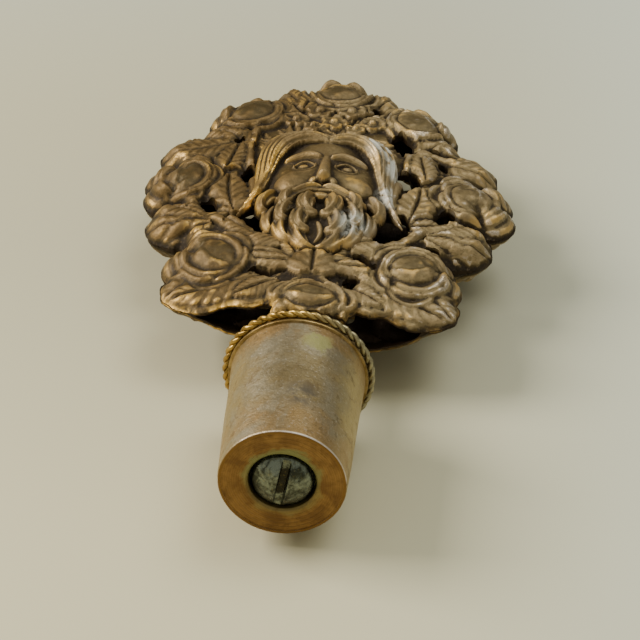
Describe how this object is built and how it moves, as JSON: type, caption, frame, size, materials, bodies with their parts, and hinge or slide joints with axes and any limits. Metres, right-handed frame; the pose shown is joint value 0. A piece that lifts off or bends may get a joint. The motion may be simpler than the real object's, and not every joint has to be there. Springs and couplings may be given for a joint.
{
  "type": "ornamental finial",
  "caption": "Two-sided openwork finial of roses and leaves around a bearded mask, on a rope-edged tapered plug closed by a slotted screw.",
  "frame": {"origin": "on the plug's axis, in the plane where the collar seats on the mouth of the socket", "axes": "+Y from the plug to the top of the cartouche, +Z out of the front face, +X to the right"},
  "size_m": [0.0634, 0.1158, 0.0236],
  "materials": {
    "gilt_relief": "worn plating over brass, olive tarnish in the recesses",
    "gilt_mask": "worn plating over brass, with chalky residue",
    "gilt_rope": "worn bright rope edge",
    "gilt_collar": "dull turned brass",
    "plated_sleeve": "worn silver plate with tan and golden tarnish",
    "copper_core": "turned copper alloy, brown tarnish",
    "brass_fastener": "dull brass",
    "steel_washer": "dark steel",
    "steel_screw": "dull steel with green corrosion"
  },
  "bodies": {
    "finial": {"front_shell": "gilt_relief", "back_shell": "gilt_relief", "front_mask": "gilt_mask", "back_mask": "gilt_mask", "front_mask_rivets": "brass_fastener", "back_mask_rivets": "brass_fastener", "neck_tang": "brass_fastener", "collar_plate": "gilt_collar", "rope_ring": "gilt_rope", "seat_ring": "gilt_collar", "plug_sleeve": "plated_sleeve", "plug_core": "copper_core"},
    "washer": {"spring_washer": "steel_washer"},
    "screw": {"fixing_screw": "steel_screw"}
  },
  "joints": [
    {"name": "screw_travel", "type": "slide", "parent": "finial", "child": "washer", "axis": [0, -1, 0], "range_m": [0, 0.008]},
    {"name": "screw_turn", "type": "hinge", "parent": "washer", "child": "screw", "pos_m": [0, -0.0258, 0], "axis": [0, -1, 0], "range_deg": [0, 3600]}
  ],
  "couplings": [
    {"joint": "screw_turn", "follows": "screw_travel", "rad_per_m": 7854}
  ]
}
